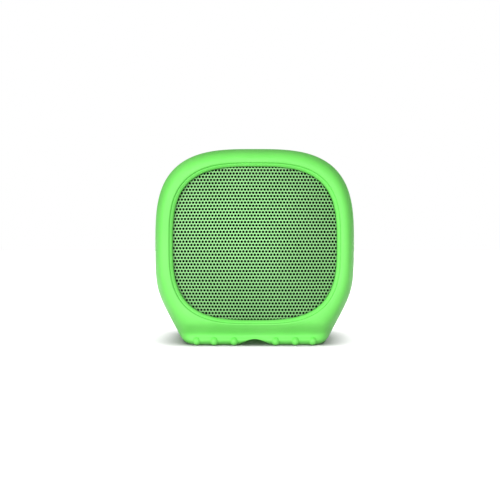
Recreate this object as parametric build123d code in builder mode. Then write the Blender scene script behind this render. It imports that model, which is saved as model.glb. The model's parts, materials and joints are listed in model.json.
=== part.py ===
from build123d import *
from math import cos, pi, radians, sin
import os

# A small portable bluetooth speaker: a rounded-square plastic case in a stretched silicone skin,
# with a domed grille on its front (-Y) and its controls and sockets on its back (+Y).
# Millimetres. X is to the right, Y to the back, Z up, and the feet stand on Z = 0.
os.makedirs("parts", exist_ok=True)

# Body
HALF_DEPTH = 27.0
WIDEST_Y = 5.0
HALF_WIDTH = 36.24
TOP_Z = 68.95
BASE_Z = -0.4
CENTRE_Z = 30.4
WALL_POWER = 3.38
FLANK_LEAN = 24.9
FLANK_REACH = 37.6
BULGE_POWER = 0.42
UNDERCUT_POWER = 0.75
OUTLINE_POINTS = 64

# Front opening, grille and the sphere that the grille is pressed to
GRILLE_Z = 34.55
FACE_POWER = 3.1
RIM_HALF = (29.3, 27.3)
LIP_HALF = (28.6, 26.7)
LIP_DEPTH = 0.9
OPENING_HALF = (27.6, 25.8)
GRILLE_HALF = (28.4, 26.6)
GRILLE_APEX_Y = -26.6
GRILLE_RADIUS = 203.0
GRILLE_SHEET = 0.6
CLOTH_SHEET = 0.3

# Skin and housings
SKIN = 2.2
SKIN_GAP = 0.1
WALL = 1.8
PARTING_Y = 6.0
BAFFLE_Y = -19.0
BAFFLE = 3.0
BACK_HALF = (26.0, 24.0)
BACK_WALL_Y = 22.8
HOUSING_BACK_Y = 24.6
POST_RADIUS = 2.6
SCREW_RADIUS = 1.0
CASE_SCREWS = [(0, 59.6), (0, 9.4), (-27.0, GRILLE_Z), (27.0, GRILLE_Z)]
SCREW_SEAT_Y = 10.0
POST_END_Y = 23.0

# Feet: the underside is flat, and a shallow arch parts it into two
FOOT_PAD = 1.8
FOOT_ROUND = 7.5
ARCH_HEIGHT = 2.0
ARCH_HALF = 6.2
TOE_RADIUS = 1.35
TOES = [(7.0, -24.0), (13.7, -23.9), (19.5, -23.4)]

# Back panel with its controls and sockets
PANEL_Z = 34.5
PANEL_SIZE = (46.0, 26.0)
PANEL_CORNER = 8.0
PANEL_FACE_Y = 26.2
BUTTON_Z = 40.5
BUTTON_X = {"minus": -13.5, "play": 0.0, "plus": 13.5}
BUTTON_RADIUS = 4.0
BUTTON_FLANGE_RADIUS = 4.8
BUTTON_GAP = 0.15
BUTTON_TRAVEL = 0.5
BUTTON_FACE_Y = 26.85
SOCKET_Z = 27.5
JACK_X = -15.0
JACK_BORE = 1.78
USB_X = -3.5
LED_X = 5.5
MIC_X = 0.0
MIC_Z = 32.6
SWITCH_X = 15.0
SWITCH_TRAVEL = 3.0

# Driver, turned about a line along Y through the grille's centre
FLANGE_RADIUS = 23.1
BASKET_HOLE = 19.8
DRIVER_SCREW_RING = 24.2
DRIVER_SCREWS = [(side * DRIVER_SCREW_RING * cos(radians(turn)),
                  GRILLE_Z + DRIVER_SCREW_RING * sin(radians(turn)))
                 for side in (-1, 1) for turn in (-35, 35)]
GAP_POLE_RADIUS = 6.2
GAP_PLATE_RADIUS = 7.3
FORMER_RADIUS = 6.5
FORMER_WALL = 0.15
CONE_RADIUS = 16.5
CONE_TOP_Y = -20.4
CONE_NECK_Y = -13.5
DRIVER_PLANE = Plane.XY.offset(GRILLE_Z)
DRIVER_AXIS = Axis((0, 0, GRILLE_Z), (0, 1, 0))

# Circuit board and battery
BOARD_SIZE = (48.0, 44.0)
BOARD_FRONT_Y = 13.5
BOARD_BACK_Y = 14.7
BOARD_SCREWS = [(-20.5, 17.0), (20.5, 17.0), (-20.5, 52.0), (20.5, 52.0)]
BATTERY_SIZE = (42.0, 28.0)
BATTERY_Y = (6.0, 11.6)
BRACKET_Y = (4.6, 5.6)
BRACKET_POSTS = [(-25.5, 48.0), (25.5, 48.0), (-25.5, 21.0), (25.5, 21.0)]
LEAD_RADIUS = 0.5


def across(y):
    """Return the plane at one depth: its own axes are X and Z, and it faces the front."""
    return Plane.XZ.offset(-y)


def squircle(half_size, power, angle):
    """Return a superellipse's radius at an angle."""
    wide = abs(cos(angle)) / half_size[0]
    high = abs(sin(angle)) / half_size[1]
    return (wide**power + high**power) ** (-1 / power)


def soft_minimum(first, second, sharpness):
    return (first**-sharpness + second**-sharpness) ** (-1 / sharpness)


def wall_radius(angle):
    """Return the body's radius where it is widest: round above, leaning flanks, flat below."""
    high = max(sin(angle), 0) / (TOP_Z - CENTRE_Z)
    wide = abs(cos(angle)) / HALF_WIDTH
    radius = (wide**WALL_POWER + high**WALL_POWER) ** (-1 / WALL_POWER)
    lean = radians(FLANK_LEAN)
    towards_flank = abs(cos(angle)) * cos(lean) - sin(angle) * sin(lean)
    if towards_flank > 0.05:
        radius = soft_minimum(radius, FLANK_REACH / towards_flank, 30)
    if sin(angle) < -0.05:
        radius = soft_minimum(radius, (CENTRE_Z - BASE_Z) / -sin(angle), 40)
    return radius


def smooth_step(value):
    value = min(max(value, 0), 1)
    return value * value * (3 - 2 * value)


def closed_curve(points):
    """Return a smooth closed curve whose points are evenly spaced along its parameter."""
    parameters = [step / len(points) for step in range(len(points) + 1)]
    corners = [Vector(x, z) for x, z in points]
    return Edge.make_spline(corners, periodic=True, parameters=parameters)


def body_outline(y, inset):
    """Return points around the body at one depth, moved inwards by an inset."""
    front = y < WIDEST_Y
    reach = HALF_DEPTH + WIDEST_Y if front else HALF_DEPTH - WIDEST_Y
    end_half = RIM_HALF if front else BACK_HALF
    from_end = y + HALF_DEPTH if front else HALF_DEPTH - y
    side_share = (1 - max(1 - from_end / reach, 0) ** 2) ** BULGE_POWER
    base_share = (1 - max(1 - from_end / FOOT_ROUND, 0) ** 2) ** UNDERCUT_POWER
    points = []
    for step in range(OUTLINE_POINTS):
        angle = 2 * pi * step / OUTLINE_POINTS
        lowness = smooth_step((-sin(angle) - 0.74) / 0.14)
        share = side_share + (base_share - side_share) * lowness
        end = squircle(end_half, FACE_POWER, angle)
        radius = end + (wall_radius(angle) - end) * share - inset
        radius -= FOOT_PAD * lowness if inset else 0
        centre_z = GRILLE_Z + (CENTRE_Z - GRILLE_Z) * share
        points.append((radius * cos(angle), centre_z + radius * sin(angle)))
    return points


def depth_stations(start_y, end_y):
    """Return depths for the body's sections, closer together where it curves faster."""
    front_reach = WIDEST_Y + HALF_DEPTH
    back_reach = HALF_DEPTH - WIDEST_Y
    turns = [0, 5, 10, 15, 20, 26, 33, 42, 54, 70]
    depths = [WIDEST_Y - front_reach * cos(radians(turn)) for turn in turns]
    depths += [WIDEST_Y]
    depths += [WIDEST_Y + back_reach * cos(radians(turn)) for turn in reversed(turns)]
    inner = [y for y in depths if start_y + 0.4 < y < end_y - 0.4]
    return [start_y] + inner + [end_y]


def body_solid(inset, start_y, end_y):
    """Return the body's form between two depths, lofted through its outlines."""
    with BuildPart() as body:
        for y in depth_stations(start_y, end_y):
            with BuildSketch(across(y)):
                with BuildLine():
                    add(closed_curve(body_outline(y, inset)))
                make_face()
        loft()
    return body.part


def face_outline(half_size):
    """Return points around the front opening's squircle."""
    steps = range(OUTLINE_POINTS)
    angles = [2 * pi * step / OUTLINE_POINTS for step in steps]
    radii = [squircle(half_size, FACE_POWER, angle) for angle in angles]
    return [(r * cos(a), GRILLE_Z + r * sin(a)) for r, a in zip(radii, angles)]


def face_prism(half_size, start_y, end_y):
    """Return a straight block with the front opening's outline."""
    with BuildPart() as prism:
        with BuildSketch(across(start_y)):
            with BuildLine():
                add(closed_curve(face_outline(half_size)))
            make_face()
        extrude(amount=start_y - end_y)
    return prism.part


def behind_dome(half_size, drop, back_y=-21.0):
    """Return the space behind the grille's sphere, lowered by a drop, inside an outline."""
    with BuildPart() as space:
        add(face_prism(half_size, -HALF_DEPTH - 1, back_y))
        with Locations((0, GRILLE_APEX_Y + GRILLE_RADIUS, GRILLE_Z)):
            Sphere(GRILLE_RADIUS - drop, mode=Mode.INTERSECT)
    return space.part


def domed_sheet(half_size, drop, thickness):
    """Return a sheet pressed to the grille's sphere."""
    with BuildPart() as sheet:
        add(behind_dome(half_size, drop))
        with Locations((0, GRILLE_APEX_Y + GRILLE_RADIUS, GRILLE_Z)):
            Sphere(GRILLE_RADIUS - drop - thickness, mode=Mode.SUBTRACT)
    return sheet.part


def turned(corners):
    """Return a solid turned about the driver's axis from corners of (radius, y)."""
    with BuildPart() as ring:
        with BuildSketch(DRIVER_PLANE):
            with BuildLine():
                Polyline(*corners, close=True)
            make_face()
        revolve(axis=DRIVER_AXIS)
    return ring.part


def rod(places, radius, start_y, end_y, hole=0.0):
    """Return round rods or tubes along Y at places of (x, z)."""
    with BuildPart() as rods:
        with BuildSketch(across(start_y)):
            with Locations(*places):
                Circle(radius)
                if hole:
                    Circle(hole, mode=Mode.SUBTRACT)
        extrude(amount=start_y - end_y)
    return rods.part


def block(centre, size, start_y, end_y, corner=0.0):
    """Return a plate across Y with rounded corners, from its centre (x, z) and size."""
    with BuildPart() as plate:
        with BuildSketch(across(start_y)):
            with Locations(centre):
                if corner:
                    RectangleRounded(*size, corner)
                else:
                    Rectangle(*size)
        extrude(amount=start_y - end_y)
    return plate.part


def screws(places, seat_y, head_radius, head, length):
    """Return pan-head screws at places of (x, z), heads towards the back when length is positive."""
    towards = 1 if length > 0 else -1
    with BuildPart() as set_of_screws:
        for place in places:
            shank_y = seat_y - length
            add(rod([place], SCREW_RADIUS, min(seat_y, shank_y), max(seat_y, shank_y)))
            head_end = seat_y + towards * head
            add(rod([place], head_radius, min(seat_y, head_end), max(seat_y, head_end)))
            slot_y = head_end - towards * 0.5
            cross = (min(slot_y, head_end + towards), max(slot_y, head_end + towards))
            add(block(place, (2 * head_radius - 1.0, 0.5), *cross), mode=Mode.SUBTRACT)
            add(block(place, (0.5, 2 * head_radius - 1.0), *cross), mode=Mode.SUBTRACT)
    return set_of_screws.part


def lead(points, radius):
    """Return a wire along straight runs joined by arcs."""
    with BuildPart() as wire:
        with BuildLine() as path:
            FilletPolyline(*points, radius=radius)
        with BuildSketch(Plane(origin=path.line @ 0, z_dir=path.line % 0)):
            Circle(LEAD_RADIUS)
        sweep()
    return wire.part


# ---------------------------------------------------------------- skin and front
with BuildPart() as silicone_skin:
    add(body_solid(0, -HALF_DEPTH, HALF_DEPTH))
    with Locations((0, 0, -5)):
        Box(80, 80, 10, mode=Mode.SUBTRACT)
    with BuildSketch(across(-HALF_DEPTH - 1)):
        with BuildLine():
            ThreePointArc((-ARCH_HALF, 0), (0, ARCH_HEIGHT), (ARCH_HALF, 0))
            Polyline((ARCH_HALF, 0), (ARCH_HALF, -2), (-ARCH_HALF, -2), (-ARCH_HALF, 0))
        make_face()
    extrude(amount=-2 * HALF_DEPTH - 2, mode=Mode.SUBTRACT)
    with Locations(*[(side * x, y, TOE_RADIUS + 0.1) for side in (-1, 1) for x, y in TOES]):
        Sphere(TOE_RADIUS)
    add(body_solid(SKIN, -24.6, HOUSING_BACK_Y + SKIN_GAP), mode=Mode.SUBTRACT)
    add(face_prism(OPENING_HALF, -HALF_DEPTH - 1, -21.0), mode=Mode.SUBTRACT)
    add(face_prism(LIP_HALF, -HALF_DEPTH - 1, -HALF_DEPTH + LIP_DEPTH), mode=Mode.SUBTRACT)
    add(behind_dome((GRILLE_HALF[0] + 0.15, GRILLE_HALF[1] + 0.15), -0.05), mode=Mode.SUBTRACT)
    add(block((0, PANEL_Z), (PANEL_SIZE[0] + 0.2, PANEL_SIZE[1] + 0.2), 20, 30, PANEL_CORNER + 0.1),
        mode=Mode.SUBTRACT)
silicone_skin.part.label = "silicone_skin"
export_step(silicone_skin.part, "parts/silicone_skin.step")

with BuildPart() as front_grille:
    add(domed_sheet(GRILLE_HALF, 0, GRILLE_SHEET))
front_grille.part.label = "front_grille"
export_step(front_grille.part, "parts/front_grille.step")

with BuildPart() as grille_cloth:
    add(domed_sheet((27.9, 26.1), GRILLE_SHEET + 0.03, CLOTH_SHEET))
grille_cloth.part.label = "grille_cloth"
export_step(grille_cloth.part, "parts/grille_cloth.step")
print("skin and front")

# ---------------------------------------------------------------- housings
CASE = SKIN + SKIN_GAP
case_form = body_solid(CASE, -24.6, HOUSING_BACK_Y + SKIN_GAP)
with BuildPart() as front_housing:
    add(case_form)
    add(block((0, CENTRE_Z), (90, 90), -HALF_DEPTH, PARTING_Y), mode=Mode.INTERSECT)
    add(body_solid(CASE + WALL, BAFFLE_Y + BAFFLE, PARTING_Y + 0.5), mode=Mode.SUBTRACT)
    add(face_prism((26.3, 24.5), -HALF_DEPTH, BAFFLE_Y), mode=Mode.SUBTRACT)
    with Locations((0, GRILLE_APEX_Y + GRILLE_RADIUS, GRILLE_Z)):
        Sphere(GRILLE_RADIUS - GRILLE_SHEET - CLOTH_SHEET - 0.06, mode=Mode.INTERSECT)
    add(rod([(0, GRILLE_Z)], BASKET_HOLE, -25, -10), mode=Mode.SUBTRACT)
    add(rod(CASE_SCREWS, POST_RADIUS, BAFFLE_Y + BAFFLE - 0.5, PARTING_Y))
    add(rod(BRACKET_POSTS, 2.2, BAFFLE_Y + BAFFLE - 0.5, BRACKET_Y[0]))
    add(rod(CASE_SCREWS, SCREW_RADIUS, -6, 8), mode=Mode.SUBTRACT)
    add(rod(BRACKET_POSTS, SCREW_RADIUS, -2, 8), mode=Mode.SUBTRACT)
    add(rod(DRIVER_SCREWS, SCREW_RADIUS, -20, -15), mode=Mode.SUBTRACT)
    with BuildSketch(across(PARTING_Y)):
        for inset, mode in ((CASE + 0.5, Mode.ADD), (CASE + 1.1, Mode.SUBTRACT)):
            with BuildLine():
                add(closed_curve(body_outline(PARTING_Y, inset)))
            make_face(mode=mode)
    extrude(amount=0.6, mode=Mode.SUBTRACT)
front_housing.part.label = "front_housing"
export_step(front_housing.part, "parts/front_housing.step")

with BuildPart() as housing_seal:
    with BuildSketch(across(PARTING_Y)):
        for inset, mode in ((CASE + 0.55, Mode.ADD), (CASE + 1.05, Mode.SUBTRACT)):
            with BuildLine():
                add(closed_curve(body_outline(PARTING_Y, inset)))
            make_face(mode=mode)
    extrude(amount=0.55)
housing_seal.part.label = "housing_seal"
export_step(housing_seal.part, "parts/housing_seal.step")

BUTTON_PLACES = [(x, BUTTON_Z) for x in BUTTON_X.values()]
with BuildPart() as rear_housing:
    add(case_form)
    add(block((0, CENTRE_Z), (90, 90), PARTING_Y + 0.02, HOUSING_BACK_Y), mode=Mode.INTERSECT)
    add(body_solid(CASE + WALL, PARTING_Y - 0.5, BACK_WALL_Y), mode=Mode.SUBTRACT)
    add(rod(CASE_SCREWS, POST_RADIUS, PARTING_Y + 0.02, POST_END_Y))
    for place in CASE_SCREWS:
        add(rod([place], 1.15, PARTING_Y - 1, SCREW_SEAT_Y + 1), mode=Mode.SUBTRACT)
        add(rod([place], 1.9, SCREW_SEAT_Y, 27), mode=Mode.SUBTRACT)
    add(rod(BOARD_SCREWS, 2.4, BOARD_BACK_Y + 0.02, 23.2))
    add(rod(BOARD_SCREWS, SCREW_RADIUS, BOARD_BACK_Y - 1, 21.5), mode=Mode.SUBTRACT)
    add(rod(BUTTON_PLACES, BUTTON_FLANGE_RADIUS + 0.3, 22, 26), mode=Mode.SUBTRACT)
    add(rod([(JACK_X, SOCKET_Z)], 3.0, 22, 26), mode=Mode.SUBTRACT)
    add(rod([(LED_X, SOCKET_Z)], 1.2, 22, 26), mode=Mode.SUBTRACT)
    add(rod([(MIC_X, MIC_Z)], 0.6, 22, 26), mode=Mode.SUBTRACT)
    add(block((USB_X, SOCKET_Z), (8.6, 3.8), 22, 26), mode=Mode.SUBTRACT)
    add(block((SWITCH_X, SOCKET_Z), (11.0, 4.6), 22, 26), mode=Mode.SUBTRACT)
rear_housing.part.label = "rear_housing"
export_step(rear_housing.part, "parts/rear_housing.step")

with BuildPart() as rear_panel:
    add(block((0, PANEL_Z), PANEL_SIZE, HOUSING_BACK_Y + 0.02, PANEL_FACE_Y, PANEL_CORNER))
    fillet(rear_panel.faces().sort_by(Axis.Y)[-1].edges(), radius=0.5)
    add(rod(BUTTON_PLACES, BUTTON_RADIUS + BUTTON_GAP, 24, 27), mode=Mode.SUBTRACT)
    add(rod([(JACK_X, SOCKET_Z)], 2.6, 24, 27), mode=Mode.SUBTRACT)
    add(rod([(LED_X, SOCKET_Z)], 1.05, 24, 27), mode=Mode.SUBTRACT)
    add(rod([(MIC_X, MIC_Z)], 0.5, 24, 27), mode=Mode.SUBTRACT)
    add(block((USB_X, SOCKET_Z), (8.2, 3.4), 24, 27, 1.2), mode=Mode.SUBTRACT)
    add(block((SWITCH_X, SOCKET_Z), (SWITCH_TRAVEL + 3.6, 2.6), 24, 27, 0.6), mode=Mode.SUBTRACT)
rear_panel.part.label = "rear_panel"
export_step(rear_panel.part, "parts/rear_panel.step")

with BuildPart() as case_screws:
    add(screws(CASE_SCREWS, SCREW_SEAT_Y, 1.75, 1.3, 14.0))
case_screws.part.label = "case_screws"
export_step(case_screws.part, "parts/case_screws.step")
print("housings")

# ---------------------------------------------------------------- buttons and switch
PLUNGER_BACK_Y = 18.4
GLYPHS = {"minus": [(2.8, 0.7)], "play": [], "plus": [(2.8, 0.7), (0.7, 2.8)]}


def button(name):
    """Return a button: a cap in the panel, a flange behind it and a stem to its switch."""
    place = (BUTTON_X[name], BUTTON_Z)
    with BuildPart() as cap:
        add(rod([place], BUTTON_RADIUS, 24.0, BUTTON_FACE_Y))
        fillet(cap.faces().sort_by(Axis.Y)[-1].edges(), radius=0.5)
        add(rod([place], BUTTON_FLANGE_RADIUS, 23.3, 24.5))
        add(rod([place], 1.5, PLUNGER_BACK_Y + 0.02, 23.4))
        for size in GLYPHS[name]:
            add(block(place, size, BUTTON_FACE_Y - 0.1, BUTTON_FACE_Y + 0.14))
        if name == "play":
            with BuildSketch(across(BUTTON_FACE_Y - 0.1)):
                with Locations(place):
                    RegularPolygon(radius=1.7, side_count=3)
            extrude(amount=-0.24)
    return cap.part


for control in BUTTON_X:
    with BuildPart() as button_cap:
        add(button(control))
    button_cap.part.label = f"button_{control}"
    export_step(button_cap.part, f"parts/button_{control}.step")

    plunger_place = (BUTTON_X[control], BUTTON_Z)
    with BuildPart() as switch_plunger:
        add(rod([plunger_place], 1.7, 17.0, PLUNGER_BACK_Y))
    switch_plunger.part.label = f"switch_plunger_{control}"
    export_step(switch_plunger.part, f"parts/switch_plunger_{control}.step")

with BuildPart() as tact_switches:
    for place in BUTTON_PLACES:
        add(block(place, (6.0, 6.0), BOARD_BACK_Y + 0.02, 17.7, 0.6))
        add(rod([place], 1.85, 16.4, 18), mode=Mode.SUBTRACT)
tact_switches.part.label = "tact_switches"
export_step(tact_switches.part, "parts/tact_switches.step")

KNOB_X = SWITCH_X - SWITCH_TRAVEL / 2
with BuildPart() as power_switch_knob:
    add(block((KNOB_X, SOCKET_Z), (3.0, 2.2), 19.4, 26.7))
    for ridge in (-0.9, 0.0, 0.9):
        add(block((KNOB_X + ridge, SOCKET_Z), (0.35, 3.0), 26.3, 27), mode=Mode.SUBTRACT)
    add(block((KNOB_X, SOCKET_Z), (7.4, 4.0), 23.2, 24.3))
power_switch_knob.part.label = "power_switch_knob"
export_step(power_switch_knob.part, "parts/power_switch_knob.step")

with BuildPart() as slide_switch:
    add(block((SWITCH_X, SOCKET_Z), (11.0, 5.0), BOARD_BACK_Y + 0.02, 20.4, 0.4))
    add(block((SWITCH_X, SOCKET_Z), (SWITCH_TRAVEL + 3.4, 2.6), 19.0, 22), mode=Mode.SUBTRACT)
slide_switch.part.label = "slide_switch"
export_step(slide_switch.part, "parts/slide_switch.step")

# ---------------------------------------------------------------- sockets, light and microphone
with BuildPart() as aux_socket:
    add(block((JACK_X, SOCKET_Z), (7.0, 7.0), BOARD_BACK_Y + 0.02, 22.4, 0.5))
    add(rod([(JACK_X, SOCKET_Z)], 2.5, 22, PANEL_FACE_Y - 0.1))
    add(rod([(JACK_X, SOCKET_Z)], JACK_BORE, 16.0, 27), mode=Mode.SUBTRACT)
aux_socket.part.label = "aux_socket"
export_step(aux_socket.part, "parts/aux_socket.step")

with BuildPart() as usb_socket:
    add(block((USB_X, SOCKET_Z), (7.6, 2.9), BOARD_BACK_Y + 0.02, 25.4, 0.7))
    add(block((USB_X, SOCKET_Z), (7.0, 2.3), 18.0, 27, 0.5), mode=Mode.SUBTRACT)
usb_socket.part.label = "usb_socket"
export_step(usb_socket.part, "parts/usb_socket.step")

with BuildPart() as usb_tongue:
    add(block((USB_X, SOCKET_Z + 0.45), (4.6, 0.7), 18.02, 24.6))
usb_tongue.part.label = "usb_tongue"
export_step(usb_tongue.part, "parts/usb_tongue.step")

with BuildPart() as light_pipe:
    add(rod([(LED_X, SOCKET_Z)], 0.98, 16.6, PANEL_FACE_Y))
    fillet(light_pipe.faces().sort_by(Axis.Y)[-1].edges(), radius=0.3)
light_pipe.part.label = "light_pipe"
export_step(light_pipe.part, "parts/light_pipe.step")

with BuildPart() as status_led:
    add(block((LED_X, SOCKET_Z), (2.0, 1.25), BOARD_BACK_Y + 0.02, 15.6))
status_led.part.label = "status_led"
export_step(status_led.part, "parts/status_led.step")

with BuildPart() as microphone:
    add(rod([(MIC_X, MIC_Z)], 2.0, BOARD_BACK_Y + 0.02, 16.9))
    add(rod([(MIC_X, MIC_Z)], 0.4, 16.2, 18), mode=Mode.SUBTRACT)
microphone.part.label = "microphone"
export_step(microphone.part, "parts/microphone.step")
print("controls")

# ---------------------------------------------------------------- board and battery
BOARD_CENTRE = (0, GRILLE_Z)
with BuildPart() as main_board:
    add(block(BOARD_CENTRE, BOARD_SIZE, BOARD_FRONT_Y, BOARD_BACK_Y, 5.0))
    add(rod(BOARD_SCREWS, SCREW_RADIUS + 0.15, 13, 16), mode=Mode.SUBTRACT)
main_board.part.label = "main_board"
export_step(main_board.part, "parts/main_board.step")

with BuildPart() as board_screws:
    add(screws(BOARD_SCREWS, BOARD_FRONT_Y - 0.02, 1.75, 1.0, -6.0))
board_screws.part.label = "board_screws"
export_step(board_screws.part, "parts/board_screws.step")

CHIPS = {
    "bluetooth_chip": ((-12.0, 53.0), (6.0, 6.0), 1.0),
    "amplifier_chip": ((0.0, 17.0), (5.0, 6.2), 1.5),
    "charger_chip": ((-13.0, 16.5), (3.0, 5.0), 1.3),
}
for chip_name, (chip_centre, chip_size, chip_height) in CHIPS.items():
    with BuildPart() as chip:
        add(block(chip_centre, chip_size, BOARD_FRONT_Y - chip_height, BOARD_FRONT_Y - 0.02))
    chip.part.label = chip_name
    export_step(chip.part, f"parts/{chip_name}.step")

with BuildPart() as filter_capacitors:
    for x in (8.5, 14.0):
        add(rod([(x, 16.2)], 2.0, 8.1, BOARD_FRONT_Y - 0.02))
filter_capacitors.part.label = "filter_capacitors"
export_step(filter_capacitors.part, "parts/filter_capacitors.step")

with BuildPart() as battery:
    add(block(BOARD_CENTRE, BATTERY_SIZE, *BATTERY_Y, 2.0))
    fillet(battery.edges().filter_by(GeomType.LINE).filter_by(Axis.Y, reverse=True), radius=1.2)
battery.part.label = "battery"
export_step(battery.part, "parts/battery.step")

with BuildPart() as battery_pad:
    add(block(BOARD_CENTRE, (30.0, 20.0), BRACKET_Y[1] + 0.02, BATTERY_Y[0] - 0.02))
battery_pad.part.label = "battery_pad"
export_step(battery_pad.part, "parts/battery_pad.step")

with BuildPart() as battery_bracket:
    add(block(BOARD_CENTRE, (44.6, 30.6), *BRACKET_Y, 2.0))
    add(block(BOARD_CENTRE, (44.6, 30.6), BRACKET_Y[1] - 0.1, 9.0, 2.0))
    add(block(BOARD_CENTRE, (42.8, 28.8), BRACKET_Y[1], 10.0, 1.4), mode=Mode.SUBTRACT)
    for side in (-1, 1):
        for z in (21.0, 48.0):
            add(block((side * 24.0, z), (7.6, 5.0), *BRACKET_Y, 1.0))
    add(rod(BRACKET_POSTS, SCREW_RADIUS + 0.15, 4, 7), mode=Mode.SUBTRACT)
battery_bracket.part.label = "battery_bracket"
export_step(battery_bracket.part, "parts/battery_bracket.step")

with BuildPart() as bracket_screws:
    add(screws(BRACKET_POSTS, BRACKET_Y[1] + 0.02, 1.75, 1.0, 6.0))
bracket_screws.part.label = "bracket_screws"
export_step(bracket_screws.part, "parts/bracket_screws.step")
print("board")

# ---------------------------------------------------------------- driver
SEAT_Y = BAFFLE_Y - 0.02
with BuildPart() as driver_basket:
    add(turned([(19.2, SEAT_Y - 1.0), (FLANGE_RADIUS, SEAT_Y - 1.0), (FLANGE_RADIUS, SEAT_Y),
                (19.4, SEAT_Y), (17.0, -12.2), (14.4, -12.2), (13.4, -7.2), (8.0, -7.2),
                (8.0, -8.2), (12.6, -8.2), (13.4, -13.2), (16.2, -13.2)]))
    with Locations(Plane(origin=(0, -9.9, GRILLE_Z), z_dir=(0, 1, 0))):
        with PolarLocations(15.0, 6):
            Box(6.0, 8.0, 2.6, mode=Mode.SUBTRACT)
driver_basket.part.label = "driver_basket"
export_step(driver_basket.part, "parts/driver_basket.step")

with BuildPart() as driver_gasket:
    add(turned([(20.2, SEAT_Y - 1.5), (22.1, SEAT_Y - 1.5), (22.1, SEAT_Y - 1.02), (20.2, SEAT_Y - 1.02)]))
driver_gasket.part.label = "driver_gasket"
export_step(driver_gasket.part, "parts/driver_gasket.step")

with BuildPart() as driver_screws:
    add(screws(DRIVER_SCREWS, SEAT_Y - 1.02, 1.75, 1.0, -3.6))
driver_screws.part.label = "driver_screws"
export_step(driver_screws.part, "parts/driver_screws.step")

with BuildPart() as top_plate:
    add(turned([(GAP_PLATE_RADIUS, -7.18), (13.5, -7.18), (13.5, -4.7), (GAP_PLATE_RADIUS, -4.7)]))
top_plate.part.label = "top_plate"
export_step(top_plate.part, "parts/top_plate.step")

with BuildPart() as magnet:
    add(turned([(8.4, -4.68), (14.5, -4.68), (14.5, 0.8), (8.4, 0.8)]))
magnet.part.label = "magnet"
export_step(magnet.part, "parts/magnet.step")

with BuildPart() as yoke:
    add(turned([(0, -7.2), (GAP_POLE_RADIUS, -7.2), (GAP_POLE_RADIUS, 0.82), (13.5, 0.82),
                (13.5, 3.4), (0, 3.4)]))
yoke.part.label = "yoke"
export_step(yoke.part, "parts/yoke.step")

with BuildPart() as coil_former:
    add(turned([(FORMER_RADIUS, -14.5), (FORMER_RADIUS + FORMER_WALL, -14.5),
                (FORMER_RADIUS + FORMER_WALL, -3.6), (FORMER_RADIUS, -3.6)]))
coil_former.part.label = "coil_former"
export_step(coil_former.part, "parts/coil_former.step")

with BuildPart() as voice_coil:
    coil_inner = FORMER_RADIUS + FORMER_WALL + 0.01
    coil_outer = coil_inner + 0.34
    add(turned([(coil_inner, -7.8), (coil_outer, -7.8), (coil_outer, -4.1), (coil_inner, -4.1)]))
voice_coil.part.label = "voice_coil"
export_step(voice_coil.part, "parts/voice_coil.step")

with BuildPart() as speaker_cone:
    neck = FORMER_RADIUS + FORMER_WALL + 0.02
    rim = CONE_RADIUS + 1.2
    add(turned([(neck, CONE_NECK_Y - 0.5), (CONE_RADIUS, CONE_TOP_Y - 0.2), (rim, CONE_TOP_Y - 0.2),
                (rim, CONE_TOP_Y + 0.2), (CONE_RADIUS + 0.2, CONE_TOP_Y + 0.2), (neck, CONE_NECK_Y)]))
speaker_cone.part.label = "speaker_cone"
export_step(speaker_cone.part, "parts/speaker_cone.step")

DUST_CAP_RADIUS = 15.2
with BuildPart() as dust_cap:
    add(rod([(0, GRILLE_Z)], 8.1, -18.0, -15.0))
    with Locations((0, DUST_CAP_RADIUS - 17.7, GRILLE_Z)):
        Sphere(DUST_CAP_RADIUS, mode=Mode.INTERSECT)
        Sphere(DUST_CAP_RADIUS - 0.3, mode=Mode.SUBTRACT)
dust_cap.part.label = "dust_cap"
export_step(dust_cap.part, "parts/dust_cap.step")

with BuildPart() as surround:
    strip_y = CONE_TOP_Y - 0.22
    roll_y = strip_y - 0.3
    landing_y = SEAT_Y - 1.02
    with BuildSketch(DRIVER_PLANE):
        with BuildLine():
            Polyline((17.7, roll_y), (17.7, strip_y), (16.6, strip_y), (16.6, roll_y), (17.4, roll_y))
            ThreePointArc((17.4, roll_y), (18.4, roll_y - 1.1), (19.4, roll_y))
            Polyline((19.4, roll_y), (19.6, landing_y - 0.3), (20.1, landing_y - 0.3), (20.1, landing_y),
                     (19.3, landing_y), (19.1, roll_y))
            ThreePointArc((19.1, roll_y), (18.4, roll_y - 0.8), (17.7, roll_y))
        make_face()
    revolve(axis=DRIVER_AXIS)
surround.part.label = "surround"
export_step(surround.part, "parts/surround.step")

with BuildPart() as spider:
    add(turned([(6.7, -12.9), (8.2, -12.9), (9.2, -13.9), (10.2, -12.9), (11.2, -13.9), (12.2, -12.9),
                (13.2, -13.6), (16.0, -13.6), (16.0, -13.3), (13.1, -13.3), (12.2, -12.5), (11.2, -13.5),
                (10.2, -12.5), (9.2, -13.5), (8.2, -12.5), (6.7, -12.5)]))
spider.part.label = "spider"
export_step(spider.part, "parts/spider.step")

with BuildPart() as driver_terminals:
    add(block((0, GRILLE_Z + 18.7), (7.0, 2.2), -13.4, -12.3))
    for x in (-1.5, 1.5):
        add(block((x, GRILLE_Z + 19.2), (1.2, 0.4), -12.4, -10.2))
driver_terminals.part.label = "driver_terminals"
export_step(driver_terminals.part, "parts/driver_terminals.step")
print("driver")

# ---------------------------------------------------------------- leads
TOP_LEAD_Z = GRILLE_Z + 19.95
with BuildPart() as speaker_leads:
    for x in (-1.5, 1.5):
        add(lead([(x, -11.0, TOP_LEAD_Z), (x, -6.0, TOP_LEAD_Z), (x, -0.5, TOP_LEAD_Z + 1.8),
                  (x, 5.4, TOP_LEAD_Z), (x, 9.6, TOP_LEAD_Z)], 6.0))
speaker_leads.part.label = "speaker_leads"
export_step(speaker_leads.part, "parts/speaker_leads.step")

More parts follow.
